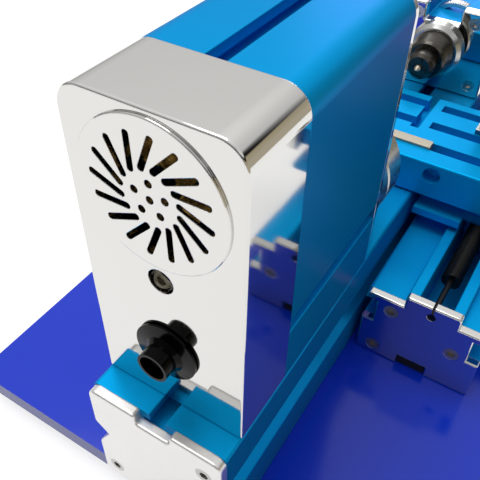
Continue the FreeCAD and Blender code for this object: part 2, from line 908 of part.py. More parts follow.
def slide_bed():
    bed = profile(slide_outline(), "y", slide_front + end_thick, slide_back - end_thick)
    ports = [rod(screw_radius, V(x, y, z), Y_BACK, screw_length)
             for x, z in slide_screw_spots()
             for y in (slide_front, slide_back - screw_length)]
    bolts = [rod(base_bolt_radius, place, UP, bolt_reach(place)) for place in bolt_places()[2:]]
    return bed.cut(ports + bolts)


def slide_end_outline():
    return slide_full_outline([(rail_half, rail_top + 0.5, 1.5)], (1.5, 0, 0, 1.2))


def slide_end_plate(inner, outer, journal):
    """End plate of the slide: split above the screw's bearing hole so that it can be nipped up."""
    plate = end_plate(slide_end_outline(), inner, outer, slide_screw_spots())
    low, high = min(inner, outer), max(inner, outer)
    left = rail_centre - slit_width / 2
    slit = block(left, left + slit_width, low, high, slide_screw_height, rail_top + end_thick)
    bore = rod(journal + fit, V(rail_centre, low, slide_screw_height), Y_BACK, high - low)
    return plate.cut([slit, bore])


def slide_screw():
    """Feed screw of the slide, necked down where it runs in the end plates."""
    wheel_seat = slide_back + wheel_stand_off + wheel_hub_length + wheel_thick
    tip = feed_tip_radius
    neck = feed_journal_radius
    front = slide_front + feed_tip_inset
    inside = slide_front + end_thick + gap
    outside = slide_back - end_thick - gap
    outline = [(0, front), (tip, front), (tip, inside), (feed_screw_radius, inside),
               (feed_screw_radius, outside), (neck, outside), (neck, wheel_seat), (0, wheel_seat)]
    return turned(outline, V(rail_centre, 0, slide_screw_height), Y_BACK)


def handwheel(bore, start, direction):
    """Turned handwheel: hub with a dial collar, dished face and a seat for its handle."""
    thick = wheel_hub_length + wheel_thick
    edge = wheel_radius - wheel_edge
    rim = wheel_radius - wheel_rim
    dish = thick - wheel_dish
    outline = [(bore, 0), (wheel_hub, 0), (wheel_hub, wheel_hub_length), (edge, wheel_hub_length),
               (wheel_radius, wheel_hub_length + wheel_edge), (wheel_radius, thick - wheel_edge),
               (edge, thick), (rim, thick), (rim, dish), (wheel_boss, dish), (wheel_boss, thick), (bore, thick)]
    seat = rod(handle_pin, handle_root(start, direction) - direction * handle_seat, direction, handle_seat)
    return turned(outline, start, direction).cut(seat)


def handle_root(start, direction):
    return start + direction * (wheel_hub_length + wheel_thick - wheel_dish) + UP * handle_ring


def wheel_handle(start, direction):
    """Turned handle, pinned into the dish of a handwheel."""
    full = handle_radius
    length = handle_length
    outline = [(0, -handle_seat), (handle_pin, -handle_seat), (handle_pin, 0), (full * 0.75, 0),
               (full * 0.8, length * 0.3), (full, length * 0.7), (full * 0.9, length * 0.92),
               (full * 0.5, length), (0, length)]
    return turned(outline, handle_root(start, direction), direction)


def slide_wheel_start():
    return V(rail_centre, slide_back + wheel_stand_off, slide_screw_height)


# Saddle on the slide, carrying the cross table on a dovetail guide

def guide_outline(clearance):
    """Dovetail guide in a plane across it, or the way that slides over it with some clearance."""
    low = saddle_plate_top
    foot = guide_foot_half + clearance
    half = guide_half + clearance
    return [(table_middle - foot, low, 0), (table_middle - half, guide_top + clearance, 0),
            (table_middle + half, guide_top + clearance, 0), (table_middle + foot, low, 0)]


def guide_left():
    return rail_centre - saddle_half


def saddle():
    """Saddle: a plate with feet that straddle the rails, a dovetail guide above and a nut below."""
    left = guide_left()
    right = rail_centre + saddle_half
    under = rail_top + gap
    inner = rail_half + gap
    foot = slide_shoulder + gap
    outline = [(left, saddle_plate_top, 0.8), (right, saddle_plate_top, 0.8), (right, under, 0),
               (rail_centre + saddle_foot_half, under, 0), (rail_centre + saddle_foot_half, foot, 0.5),
               (rail_centre + inner, foot, 0.5), (rail_centre + inner, under, 0),
               (rail_centre - inner, under, 0), (rail_centre - inner, foot, 0.5),
               (rail_centre - saddle_foot_half, foot, 0.5), (rail_centre - saddle_foot_half, under, 0),
               (left, under, 0)]
    plate = profile(outline, "y", saddle_front, saddle_back)
    lips = [block(left, right, y, y + saddle_relief, foot, saddle_plate_top - saddle_plate_thick)
            for y in (saddle_front, saddle_back - saddle_relief)]
    mouths = [block(rail_centre - channel_half, rail_centre + channel_half, y, y + saddle_mouth_depth,
                    under, saddle_plate_top) for y in (saddle_front, saddle_back - saddle_mouth_depth)]
    guide = profile(guide_outline(0), "x", left, guide_right)
    trough = block(left, guide_right, table_middle - cross_trough_half, table_middle + cross_trough_half,
                   cross_screw_height - cross_screw_radius - gap, guide_top)
    nut_half = channel_half - gap
    nut = block(rail_centre - nut_half, rail_centre + nut_half,
                table_middle - feed_nut_half, table_middle + feed_nut_half,
                slide_screw_height - feed_screw_radius - feed_nut_wall, under)
    bore = rod(feed_screw_radius + slip, V(rail_centre, saddle_front, slide_screw_height), Y_BACK,
               saddle_length)
    ports = [rod(screw_radius, V(guide_right - screw_length, y, z), X_OUT, screw_length)
             for y, z in saddle_screw_spots()]
    return joined(plate.cut(lips + mouths), guide, nut).cut([trough, bore] + ports)


def saddle_screw_spots():
    side = (guide_half + cross_trough_half) / 2
    return [(table_middle - side, cross_screw_height), (table_middle + side, cross_screw_height)]


def saddle_end_plate():
    """Polished plate on the operator's end of the guide, with the cross screw's bearing."""
    half = guide_half + guide_plate_side
    low = saddle_plate_top
    high = guide_top + guide_plate_rise
    curve = guide_plate_round
    outline = [(table_middle - half, low, curve), (table_middle + half, low, curve),
               (table_middle + half, high, curve), (table_middle - half, high, curve)]
    plate = profile(outline, "x", guide_right, guide_right + end_thick)
    face = guide_right + end_thick
    holes = [screw_hole(screw_radius, screw_head, screw_head_depth, end_thick, V(face, y, z), X_OUT)
             for y, z in saddle_screw_spots()]
    bearing = V(guide_right, table_middle, cross_screw_height)
    holes.append(rod(feed_journal_radius + fit, bearing, X_OUT, end_thick))
    return plate.cut(holes)


def saddle_plate_screws():
    face = guide_right + end_thick
    return group([socket_screw(screw_radius, screw_head, screw_head_depth, screw_length, V(face, y, z), X_OUT)
                  for y, z in saddle_screw_spots()])


def cross_screw():
    """Feed screw of the cross table, lying in the guide's trough."""
    start = guide_left() + cross_screw_inset
    inside = guide_right - gap
    outline = [(0, start), (cross_screw_radius, start), (cross_screw_radius, inside),
               (feed_journal_radius, inside), (feed_journal_radius, cross_wheel_face), (0, cross_wheel_face)]
    return turned(outline, V(0, table_middle, cross_screw_height), X_OUT)


def cross_wheel_start():
    return V(guide_right + end_thick + wheel_stand_off, table_middle, cross_screw_height)


def tee_slot(y, left, right):
    """Tee slot along x in the table's top."""
    mouth = block(left, right, y - table_slot_width / 2, y + table_slot_width / 2,
                  table_top - table_slot_lip, table_top)
    tee = block(left, right, y - table_tee_width / 2, y + table_tee_width / 2,
                table_top - table_slot_lip - table_tee_depth, table_top - table_slot_lip)
    return mouth.fuse(tee)


def table_slot_rows():
    first = table_front + table_slot_first
    return [first + i * table_slot_pitch for i in range(3)]


def cross_table():
    """Cross table: a thick plate with tee slots above and a dovetail way along its underside."""
    outline = [(table_front, table_foot, 0.8), (table_back, table_foot, 0.8),
               (table_back, table_top, 0.8), (table_front, table_top, 0.8)]
    table = profile(outline, "x", table_left, table_right)
    front_row, middle_row, back_row = table_slot_rows()
    cuts = [profile(guide_outline(slip), "x", table_left, table_right),
            tee_slot(front_row, table_left, table_right)]
    for row in (middle_row, back_row):
        cuts.append(tee_slot(row, table_left, cross_slot_left))
        cuts.append(tee_slot(row, slot_land_right, table_right))
    cuts.append(block(cross_slot_left, cross_slot_right, table_front + cross_slot_front, table_back,
                      table_top - table_slot_lip - table_tee_depth, table_top))
    face_hole = V(face_hole_left, table_front, face_hole_height)
    cuts.append(rod(face_hole_radius, face_hole, Y_BACK, face_hole_depth))
    nut_half = cross_trough_half - gap
    nut_right = table_nut_left + 2 * feed_nut_half
    nut = block(table_nut_left, nut_right, table_middle - nut_half, table_middle + nut_half,
                cross_screw_height - cross_screw_radius + gap, guide_top + slip)
    way = rod(cross_screw_radius + slip, V(table_left, table_middle, cross_screw_height), X_OUT,
              table_right - table_left)
    return joined(table.cut(cuts), nut).cut(way)


def slot_nut():
    """Steel tee nut lying in the front slot, standing a little proud of the table."""
    row = table_slot_rows()[0]
    neck = table_slot_width / 2 - slip
    tee = table_tee_width / 2 - slip
    floor = table_top - table_slot_lip - table_tee_depth
    lip = table_top - table_slot_lip - slip
    top = table_top + slot_nut_rise
    outline = [(row - tee, floor, 0), (row + tee, floor, 0), (row + tee, lip, 0), (row + neck, lip, 0),
               (row + neck, top, 0.6), (row - neck, top, 0.6), (row - neck, lip, 0), (row - tee, lip, 0)]
    return profile(outline, "x", slot_nut_left, slot_nut_left + slot_nut_length)


# Tool post on the cross table

def post_front():
    return table_slot_rows()[2] - post_depth / 2 - post_bolt_back


def post_bolt_place():
    return V(post_left + post_width / 2, table_slot_rows()[2], table_top)


def tool_post():
    """Steel tool post: a block with an open tool slot along its front and a bolt hole behind it."""
    y = post_front()
    outline = [(y + post_slot_depth, table_top + post_slot_low, 0.3), (y, table_top + post_slot_low, 0.5),
               (y, table_top, 0.5), (y + post_depth, table_top, 0.8),
               (y + post_depth, table_top + post_height, 1.2), (y, table_top + post_height, 1.2),
               (y, table_top + post_slot_high, 0.5), (y + post_slot_depth, table_top + post_slot_high, 0.3)]
    post = profile(outline, "x", post_left, post_left + post_width)
    holes = [rod(post_bolt_radius + fit, post_bolt_place(), UP, post_height)]
    holes += [rod(screw_radius, spot, UP, post_height - post_slot_high) for spot in post_screw_spots()]
    return post.cut(holes)


def post_screw_spots():
    y = post_front() + post_slot_depth / 2
    z = table_top + post_slot_high
    return [V(post_left + post_width * share, y, z) for share in (0.2, 0.5, 0.8)]


def tool_post_screws():
    """The post's clamp screws and its tee bolt with a nut on top."""
    length = post_height - post_slot_high + post_screw_rise
    screws = [socket_screw(screw_radius, screw_head, post_screw_rise, length, spot + UP * length, UP)
              for spot in post_screw_spots()]
    place = post_bolt_place()
    tee_top = table_top - table_slot_lip - slip
    tee_foot = tee_top - table_tee_depth + 2 * slip
    half = table_tee_width / 2 - slip
    tee = block(place.x - half, place.x + half, place.y - half, place.y + half, tee_foot, tee_top)
    top = table_top + post_height
    stud = rod(post_bolt_radius, V(place.x, place.y, tee_top), UP,
               top + post_nut_height + post_stud_over - tee_top)
    nut = profile(hexagon(place.x, place.y, post_nut_radius), "z", top, top + post_nut_height)
    return group(screws + [joined(tee, stud, nut)])


# Tailstock on the bed

def tail_outline():
    """Tailstock seen from the front: a block with a notch in its top, a little off the middle."""
    half = bed_half
    left = tail_notch_middle - tail_notch_half
    right = tail_notch_middle + tail_notch_half
    return [(right, tail_notch_floor, 1), (right, tail_top, 1), (half, tail_top, tail_corner),
            (half, tail_foot, 0.6), (-half, tail_foot, 0.6), (-half, tail_top, tail_corner),
            (left, tail_top, 1), (left, tail_notch_floor, 1)]


def tail_screw_spots():
    foot = bed_half - tail_foot_screw_side
    return [(tail_screw_side, tail_screw_height), (-tail_screw_side, tail_screw_height),
            (foot, tail_foot_screw_rise), (-foot, tail_foot_screw_rise)]


def tailstock_body():
    """Tailstock body: an extruded block bored for the quill, keyed into the bed's top slot."""
    front = tail_front + tail_plate_thick
    back = tail_back - tail_plate_thick
    body = profile(tail_outline(), "y", front, back)
    key = block(-slot_width / 2 + slip, slot_width / 2 - slip, front, back, -slot_lip + gap, tail_foot)
    cuts = [rod(quill_radius + fit, at_axis(spindle_height, tail_front), Y_BACK, tail_length),
            rod(lock_stud_radius + fit, lock_place(), X_OUT * -1, lock_stud_length + gap)]
    cuts += [rod(screw_radius, V(x, y, z), Y_BACK, screw_length)
             for x, z in tail_screw_spots() for y in (tail_front, tail_back - screw_length)]
    return joined(body, key).cut(cuts)


def tail_plate(inner, outer, bore):
    plate = end_plate(tail_outline(), inner, outer, tail_screw_spots())
    low, high = min(inner, outer), max(inner, outer)
    return plate.cut(rod(bore, at_axis(spindle_height, low), Y_BACK, high - low))


def lock_place():
    return V(bed_half, tail_front + lock_back, lock_height)


def lobed_knob(low, high):
    """Four-lobed knob along y: round lobes joined by hollow waists, both tangent arcs."""
    quarter = math.radians(90)
    reach = lock_lobe_radius + lock_waist_radius
    crossing = lock_lobe_ring * math.cos(quarter / 2)
    hollow = crossing + math.sqrt(crossing ** 2 - lock_lobe_ring ** 2 + reach ** 2)
    share = lock_lobe_radius / reach

    def at(distance, angle):
        return V(distance * math.cos(angle), low, distance * math.sin(angle))

    edges = []
    for i in range(4):
        middle = quarter * i
        pit_before = at(hollow, middle - quarter / 2)
        pit = at(hollow, middle + quarter / 2)
        lobe = at(lock_lobe_ring, middle)
        following = at(lock_lobe_ring, middle + quarter)
        start = lobe + (pit_before - lobe) * share
        end = lobe + (pit - lobe) * share
        tip = at(lock_lobe_ring + lock_lobe_radius, middle)
        waist = at(hollow - lock_waist_radius, middle + quarter / 2)
        edges.append(Part.Arc(start, tip, end).toShape())
        edges.append(Part.Arc(end, waist, following + (pit - following) * share).toShape())
    return Part.Face(Part.Wire(edges)).extrude(V(0, high - low, 0))


def tailstock_lock_knob():
    """Four-lobed clamp knob with its stem and stud, on the operator's side of the tailstock."""
    star = lobed_knob(0, lock_thick)
    stem = rod(lock_stem_radius, V(0, 0, 0), Y_FORWARD, lock_stem_length - gap)
    stud = rod(lock_stud_radius, V(0, 0, 0), Y_FORWARD, lock_stem_length + lock_stud_length)
    knob = joined(star, stem, stud)
    knob.rotate(V(0, 0, 0), UP, -90)
    knob.translate(lock_place() + X_OUT * lock_stem_length)
    return knob


def quill_front():
    return tail_front - quill_stand_out


def quill():
    bore = quill_screw_radius + slip
    outline = [(0, 0), (quill_radius - quill_chamfer, 0), (quill_radius, quill_chamfer),
               (quill_radius, quill_length), (bore, quill_length), (bore, quill_nose), (0, quill_nose)]
    return turned(outline, at_axis(spindle_height, quill_front()), Y_BACK)


def quill_wheel_start():
    return at_axis(spindle_height, tail_back + wheel_stand_off)


def quill_handwheel():
    """Handwheel of the quill, in one piece with the screw that drives it."""
    start = quill_front() + quill_nose + quill_screw_gap
    end = tail_back + wheel_stand_off + wheel_hub_length + wheel_thick
    screw = rod(quill_screw_radius, at_axis(spindle_height, start), Y_BACK, end - start)
    return joined(handwheel(quill_screw_radius, quill_wheel_start(), Y_BACK), screw)


# Drill chuck on the quill's nose

def drill_nose():
    return quill_front() - drill_length


def jaw_direction(index):
    """Direction in which a drill-chuck jaw draws back: along the spindle and outwards."""
    lean = math.radians(drill_jaw_lean)
    angle = math.radians(90 + 120 * index)
    return V(math.sin(lean) * math.cos(angle), math.cos(lean), math.sin(lean) * math.sin(angle))


def jaw_rod(index, radius, start, length):
    angle = math.radians(90 + 120 * index)
    root = at_axis(spindle_height, drill_nose())
    root = root + V(drill_jaw_offset * math.cos(angle), 0, drill_jaw_offset * math.sin(angle))
    direction = jaw_direction(index)
    return rod(radius, root + direction * start, direction, length)


def drill_chuck_body():
    """Drill chuck core: nose, sleeve journal and rear flange, with three leaning jaw bores."""
    step = drill_nose_length
    rear = drill_length - drill_flange_thick
    outline = [(0, 0), (drill_nose_radius - drill_nose_bevel, 0), (drill_nose_radius, drill_nose_bevel),
               (drill_nose_radius, step), (drill_core_radius, step), (drill_core_radius, rear), (drill_flange_radius, rear),
               (drill_flange_radius, drill_length), (0, drill_length)]
    core = turned(outline, at_axis(spindle_height, drill_nose()), Y_BACK)
    reach = drill_jaw_length + drill_jaw_stroke
    bores = [jaw_rod(i, drill_jaw_radius + fit, -drill_jaw_length, drill_jaw_length + reach)
             for i in range(3)]
    bores.append(rod(centre_radius + fit, at_axis(spindle_height, drill_nose()), Y_BACK, centre_depth))
    return core.cut(bores)


def drill_jaw(index):
    jaw = jaw_rod(index, drill_jaw_radius, -drill_jaw_length, 2 * drill_jaw_length)
    before = drill_nose() - drill_jaw_tip - drill_length
    grip = rod(centre_radius + fit, at_axis(spindle_height, before), Y_BACK, 2 * drill_length)
    front = rod(drill_nose_radius, at_axis(spindle_height, before), Y_BACK, drill_length)
    return jaw.cut([grip, front])


def drill_centre():
    """Pointed centre held in the drill chuck."""
    tip = centre_radius * math.sqrt(3)
    outline = [(0, -centre_reach), (centre_radius, tip - centre_reach), (centre_radius, centre_depth - fit),
               (0, centre_depth - fit)]
    return turned(outline, at_axis(spindle_height, drill_nose()), Y_BACK)


def sleeve_span():
    start = drill_nose_length + slip
    end = drill_length - drill_flange_thick - slip
    return start, end


def drill_chuck_sleeve():
    start, end = sleeve_span()
    seam = end - drill_ring_thick
    bore = drill_core_radius + fit
    outline = [(bore, start), (drill_sleeve_front - 1, start), (drill_sleeve_front, start + 1.2),
               (drill_sleeve_back, seam), (drill_sleeve_back, end), (bore, end)]
    return turned(outline, at_axis(spindle_height, drill_nose()), Y_BACK)


def drill_chuck_ring():
    start, end = sleeve_span()
    seam = end - drill_ring_thick
    outer = drill_ring_radius
    outline = [(drill_sleeve_back, seam), (outer - 1.8, seam), (outer, seam + 1.8), (outer, end - 0.8),
               (outer - 0.8, end), (drill_sleeve_back, end)]
    return turned(outline, at_axis(spindle_height, drill_nose()), Y_BACK)


def main():
    os.makedirs("parts", exist_ok=True)
    write("base_plate", base_plate())
    write("rubber_feet", rubber_feet())
    write("base_bolts", base_bolts())

    bed_outer_front = bed_front - end_thick
    bed_outer_back = bed_back + end_thick
    write("bed_profile", bed_profile())
    write("bed_front_plate", end_plate(bed_end_outline(), bed_front, bed_outer_front, bed_screw_spots()))
    write("bed_rear_plate", end_plate(bed_end_outline(), bed_back, bed_outer_back, bed_screw_spots()))
    write("bed_plate_screws", group(end_screws(bed_outer_front, Y_FORWARD, bed_screw_spots())
                                    + end_screws(bed_outer_back, Y_BACK, bed_screw_spots())))

    write("headstock_body", headstock_body())
    write("headstock_cap", headstock_cap())
    write("headstock_face_plate", headstock_face_plate())
    write("face_plate_screws", group(end_screws(face_front, Y_BACK, face_screw_spots())))
    write("headstock_studs", headstock_studs())
    write("cap_screw", cap_screw())
    write("vent_disc", vent_disc())
    write("power_inlet", power_inlet())
    write("motor", motor())
    write("motor_shaft", motor_shaft())
    write("motor_pulley", pulley(motor_pulley_radius, motor_shaft_radius, motor_height))
    write("drive_belt", drive_belt())
    write("spindle_pulley", pulley(spindle_pulley_radius, spindle_radius, spindle_height))
    write("spindle", spindle())
    write("spindle_bearings", spindle_bearings())
    write("hand_knob", hand_knob())

    write("chuck_ring", chuck_ring())
    write("chuck_body", chuck_body())
    for i in range(3):
        write("chuck_jaw_" + str(i + 1), chuck_jaw(i))

    write("slide_bed", slide_bed())
    write("slide_front_plate", slide_end_plate(slide_front + end_thick, slide_front, feed_tip_radius))
    write("slide_rear_plate", slide_end_plate(slide_back - end_thick, slide_back, feed_journal_radius))
    write("slide_plate_screws", group(end_screws(slide_front, Y_FORWARD, slide_screw_spots())
                                      + end_screws(slide_back, Y_BACK, slide_screw_spots())))
    write("slide_screw", slide_screw())
    write("slide_handwheel", handwheel(feed_journal_radius, slide_wheel_start(), Y_BACK))
    write("slide_handle", wheel_handle(slide_wheel_start(), Y_BACK))

    write("saddle", saddle())
    write("saddle_end_plate", saddle_end_plate())
    write("saddle_plate_screws", saddle_plate_screws())
    write("cross_screw", cross_screw())
    write("cross_handwheel", handwheel(feed_journal_radius, cross_wheel_start(), X_OUT))
    write("cross_handle", wheel_handle(cross_wheel_start(), X_OUT))
    write("cross_table", cross_table())
    write("slot_nut", slot_nut())
    write("tool_post", tool_post())
    write("tool_post_screws", tool_post_screws())

    write("tailstock_body", tailstock_body())
    tail_inner_front = tail_front + tail_plate_thick
    tail_inner_back = tail_back - tail_plate_thick
    write("tailstock_front_plate", tail_plate(tail_inner_front, tail_front, quill_radius + gap))
    write("tailstock_rear_plate", tail_plate(tail_inner_back, tail_back, quill_screw_radius + fit))
    write("tailstock_screws", group(end_screws(tail_front, Y_FORWARD, tail_screw_spots())
                                    + end_screws(tail_back, Y_BACK, tail_screw_spots())))
    write("tailstock_lock_knob", tailstock_lock_knob())
    write("quill", quill())
    write("quill_handwheel", quill_handwheel())
    write("quill_handle", wheel_handle(quill_wheel_start(), Y_BACK))

    write("drill_chuck_body", drill_chuck_body())
    write("drill_centre", drill_centre())
    write("drill_chuck_sleeve", drill_chuck_sleeve())
    write("drill_chuck_ring", drill_chuck_ring())
    for i in range(3):
        write("drill_jaw_" + str(i + 1), drill_jaw(i))


main()
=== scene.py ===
import bpy
import math
import numpy as np
from mathutils import Matrix, Vector


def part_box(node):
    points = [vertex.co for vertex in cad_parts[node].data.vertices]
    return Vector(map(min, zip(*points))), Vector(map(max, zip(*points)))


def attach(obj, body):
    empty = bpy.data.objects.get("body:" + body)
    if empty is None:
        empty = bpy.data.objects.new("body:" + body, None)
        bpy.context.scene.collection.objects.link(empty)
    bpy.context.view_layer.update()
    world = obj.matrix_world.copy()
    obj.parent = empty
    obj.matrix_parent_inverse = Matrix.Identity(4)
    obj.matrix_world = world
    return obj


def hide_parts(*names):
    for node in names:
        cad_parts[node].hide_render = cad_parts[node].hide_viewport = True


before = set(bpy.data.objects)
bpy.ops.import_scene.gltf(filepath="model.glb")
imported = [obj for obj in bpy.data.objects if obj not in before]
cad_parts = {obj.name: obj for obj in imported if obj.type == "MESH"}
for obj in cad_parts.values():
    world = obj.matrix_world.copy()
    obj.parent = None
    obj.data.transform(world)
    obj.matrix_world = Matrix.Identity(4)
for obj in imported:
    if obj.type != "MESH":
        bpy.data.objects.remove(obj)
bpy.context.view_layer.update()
scene = bpy.context.scene
scene.view_settings.view_transform = "Standard"


# Base plate: steel sheet cut to size with rounded corners, lying under everything else.
# It is sprayed with royal blue enamel, thick and glossy, with the faint ripple that a sprayed coat dries to.

def linear(code):
    """sRGB hex colour as linear RGBA: each channel is raised by the sRGB curve."""
    channels = np.array([int(code[i:i + 2], 16) for i in (1, 3, 5)]) / 255.0
    low = channels / 12.92
    high = ((channels + 0.055) / 1.055) ** 2.4
    return (*np.where(channels <= 0.04045, low, high), 1.0)


def add(tree, kind, settings=None, links=None):
    """Adds one shader node. Settings fill its sockets or its properties, and links feed its sockets."""
    made = tree.nodes.new(kind)
    for name, value in (settings or {}).items():
        if isinstance(name, int) or name in made.inputs:
            made.inputs[name].default_value = value
        else:
            setattr(made, name, value)
    for name, source in (links or {}).items():
        tree.links.new(source, made.inputs[name])
    return made


def start_material(name, **sockets):
    """New material with one Principled shader whose plain sockets are set here."""
    material = bpy.data.materials.new(name)
    material.use_nodes = True
    tree = material.node_tree
    shader = tree.nodes["Principled BSDF"]
    for socket, value in sockets.items():
        shader.inputs[socket.replace("_", " ")].default_value = value
    return material, tree, shader


def dress(material, *names):
    """Gives CAD nodes their finish."""
    for name in names:
        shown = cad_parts[name]
        shown.data.materials.clear()
        shown.data.materials.append(material)


MM = 0.001
enamel, tree, shader = start_material(
    "sprayed_enamel", Base_Color=linear("#0F34C2"), Roughness=0.14, IOR=1.4)
ripple_width, ripple_depth = 6 * MM, 0.2 * MM
place = add(tree, "ShaderNodeTexCoord")
ripple = add(tree, "ShaderNodeTexNoise", {"Scale": 1 / ripple_width, "Detail": 2.0},
             {"Vector": place.outputs["Object"]})
bump = add(tree, "ShaderNodeBump", {"Strength": 0.03, "Distance": ripple_depth},
           {"Height": ripple.outputs["Fac"]})
tree.links.new(bump.outputs["Normal"], shader.inputs["Normal"])
dress(enamel, "base_plate")


# Feet: four tapered rubber buffers, moulded in one piece each and fixed under the base.
# They are matt black. The moulded grain is drawn coarser than the real one, so that it shows.

rubber, tree, shader = start_material(
    "moulded_rubber", Base_Color=linear("#1B1B1C"), Roughness=0.8, IOR=1.5)
grain_width, grain_depth = 0.8 * MM, 0.1 * MM
place = add(tree, "ShaderNodeTexCoord")
grain = add(tree, "ShaderNodeTexNoise", {"Scale": 1 / grain_width, "Detail": 3.0},
            {"Vector": place.outputs["Object"]})
bump = add(tree, "ShaderNodeBump", {"Strength": 0.2, "Distance": grain_depth},
           {"Height": grain.outputs["Fac"]})
tree.links.new(bump.outputs["Normal"], shader.inputs["Normal"])
dress(rubber, "rubber_feet")


# Bed and slide: aluminium extruded to section, bead blasted and anodised blue.
# The dyed oxide scatters most of the light back as an even blue, with a soft sheen from the metal under it.
# The blasted grain is drawn coarser than the real one, so that it shows.

anodised, tree, shader = start_material(
    "blue_anodised_aluminium", Base_Color=linear("#0AA2E4"), Metallic=0.4, Specular_IOR_Level=0.0,
    Specular_Tint=linear("#D83C64"))
blast_width, blast_depth = 0.35 * MM, 0.05 * MM
place = add(tree, "ShaderNodeTexCoord")
blast = add(tree, "ShaderNodeTexNoise", {"Scale": 1 / blast_width, "Detail": 3.0},
            {"Vector": place.outputs["Object"]})
shade = add(tree, "ShaderNodeMapRange", {"To Min": 0.26, "To Max": 0.34}, {"Value": blast.outputs["Fac"]})
bump = add(tree, "ShaderNodeBump", {"Strength": 0.12, "Distance": blast_depth},
           {"Height": blast.outputs["Fac"]})
tree.links.new(shade.outputs["Result"], shader.inputs["Roughness"])
tree.links.new(bump.outputs["Normal"], shader.inputs["Normal"])
dress(anodised, "bed_profile", "slide_bed")


# End plates of the bed: zinc alloy castings, tumbled to a soft shine and screwed over the profile's ends.
# Tumbling leaves broad faint clouds on their faces and takes the sharpness off their edges.

def worked_metal(name, colour, mark_width, detail, smooth, rough, metallic=1.0):
    """Bare metal: its roughness wanders from smooth to rough over marks as wide as its working left."""
    material, tree, shader = start_material(name, Base_Color=linear(colour), Metallic=metallic)
    place = add(tree, "ShaderNodeTexCoord")
    marks = add(tree, "ShaderNodeTexNoise", {"Scale": 1 / mark_width, "Detail": detail},
                {"Vector": place.outputs["Object"]})
    shade = add(tree, "ShaderNodeMapRange", {"To Min": smooth, "To Max": rough},
                {"Value": marks.outputs["Fac"]})
    tree.links.new(shade.outputs["Result"], shader.inputs["Roughness"])
    return material


satin = worked_metal(
    "tumbled_zinc_alloy", "#E2E1DF", mark_width=9 * MM, detail=2.0, smooth=0.3, rough=0.42)
tumbled_edge = 0.6 * MM
tree = satin.node_tree
soft = add(tree, "ShaderNodeBevel", {"samples": 4, "Radius": tumbled_edge})
tree.links.new(soft.outputs["Normal"], tree.nodes["Principled BSDF"].inputs["Normal"])
dress(satin, "bed_front_plate", "bed_rear_plate")


# Screws, bolts and studs: turned steel, most with hexagon sockets, bright zinc plated.
# The plating gives them a pale grey shine that is a little cloudy.

plated = worked_metal(
    "zinc_plated_steel", "#B4B3AE", mark_width=0.8 * MM, detail=2.0, smooth=0.2, rough=0.36)
dress(plated, "base_bolts", "bed_plate_screws", "saddle_plate_screws", "face_plate_screws",
      "tailstock_screws", "tool_post_screws", "headstock_studs")


# Tower body: aluminium extruded along the spindle, bored for the motor above and the spindle below.
# It is anodised like the bed, and studs with tee feet hold it down in the bed's top slot.

dress(anodised, "headstock_body")


# Tower cap, vent disc and face plate: zinc alloy castings ground and buffed to a mirror.
# Buffing leaves the faces very slightly wavy and rounds every edge, so what they reflect wanders a little.

polished, tree, shader = start_material(
    "buffed_zinc_alloy", Base_Color=linear("#D8D7D4"), Metallic=1.0, Roughness=0.06)
wave_width, wave_depth, buffed_edge = 14 * MM, 0.3 * MM, 0.35 * MM
place = add(tree, "ShaderNodeTexCoord")
wave = add(tree, "ShaderNodeTexNoise", {"Scale": 1 / wave_width, "Detail": 1.0},
           {"Vector": place.outputs["Object"]})
soft = add(tree, "ShaderNodeBevel", {"samples": 4, "Radius": buffed_edge})
bump = add(tree, "ShaderNodeBump", {"Strength": 0.04, "Distance": wave_depth},
           {"Height": wave.outputs["Fac"], "Normal": soft.outputs["Normal"]})
tree.links.new(bump.outputs["Normal"], shader.inputs["Normal"])
dress(polished, "headstock_cap", "headstock_face_plate", "vent_disc")


# Screw sunk in the cap: milled steel, run through the cap's boss into the tower body.
# It is nickel plated, a warm grey that spreads its highlights.

nickel = worked_metal(
    "nickel_plated_steel", "#AFA899", mark_width=0.7 * MM, detail=2.0, smooth=0.4, rough=0.52)
dress(nickel, "cap_screw")


# Drive inside the tower: a canned motor, two pulleys and a belt, with ball bearings for the spindle.
# The pulleys are turned from brass and aluminium, the steel pieces are ground, and the belt is rubber.
# The metals shine softly, each in its own colour, and a little unevenly from one tool mark to the next.

brass = worked_metal(
    "turned_brass", "#C9A25C", mark_width=1.5 * MM, detail=3.0, smooth=0.18, rough=0.36)
steel = worked_metal(
    "ground_steel", "#B9B9B6", mark_width=0.5 * MM, detail=2.0, smooth=0.18, rough=0.32)
turned = worked_metal(
    "turned_aluminium", "#D3D5D7", mark_width=0.6 * MM, detail=2.0, smooth=0.2, rough=0.32)
dress(brass, "motor_pulley")
dress(turned, "spindle_pulley")
dress(steel, "motor", "motor_shaft", "spindle_bearings", "spindle")
dress(rubber, "drive_belt")


# Hand knob on the spindle's free end, and the power socket in the tower's back: mouldings in ABS.
# They are gloss black, with a skin so nearly flat that its ripple hardly moves the highlights.

plastic, tree, shader = start_material(
    "gloss_black_abs", Base_Color=linear("#040405"), Roughness=0.12, IOR=1.5, Specular_IOR_Level=0.1)
moulding_width, moulding_depth = 1.2 * MM, 0.1 * MM
place = add(tree, "ShaderNodeTexCoord")
moulding = add(tree, "ShaderNodeTexNoise", {"Scale": 1 / moulding_width, "Detail": 2.0},
               {"Vector": place.outputs["Object"]})
bump = add(tree, "ShaderNodeBump", {"Strength": 0.05, "Distance": moulding_depth},
           {"Height": moulding.outputs["Fac"]})
tree.links.new(bump.outputs["Normal"], shader.inputs["Normal"])
dress(plastic, "hand_knob", "power_inlet")


# Lathe chuck on the spindle's flange: a body, a scroll ring behind it and three stepped jaws.
# All are ground steel, like the spindle.

dress(steel, "chuck_body", "chuck_ring", "chuck_jaw_1", "chuck_jaw_2", "chuck_jaw_3")


# End plates of the slide: buffed like the cap, split at the top so that they nip the feed screw.
# Their screws are nickel plated like the cap's.

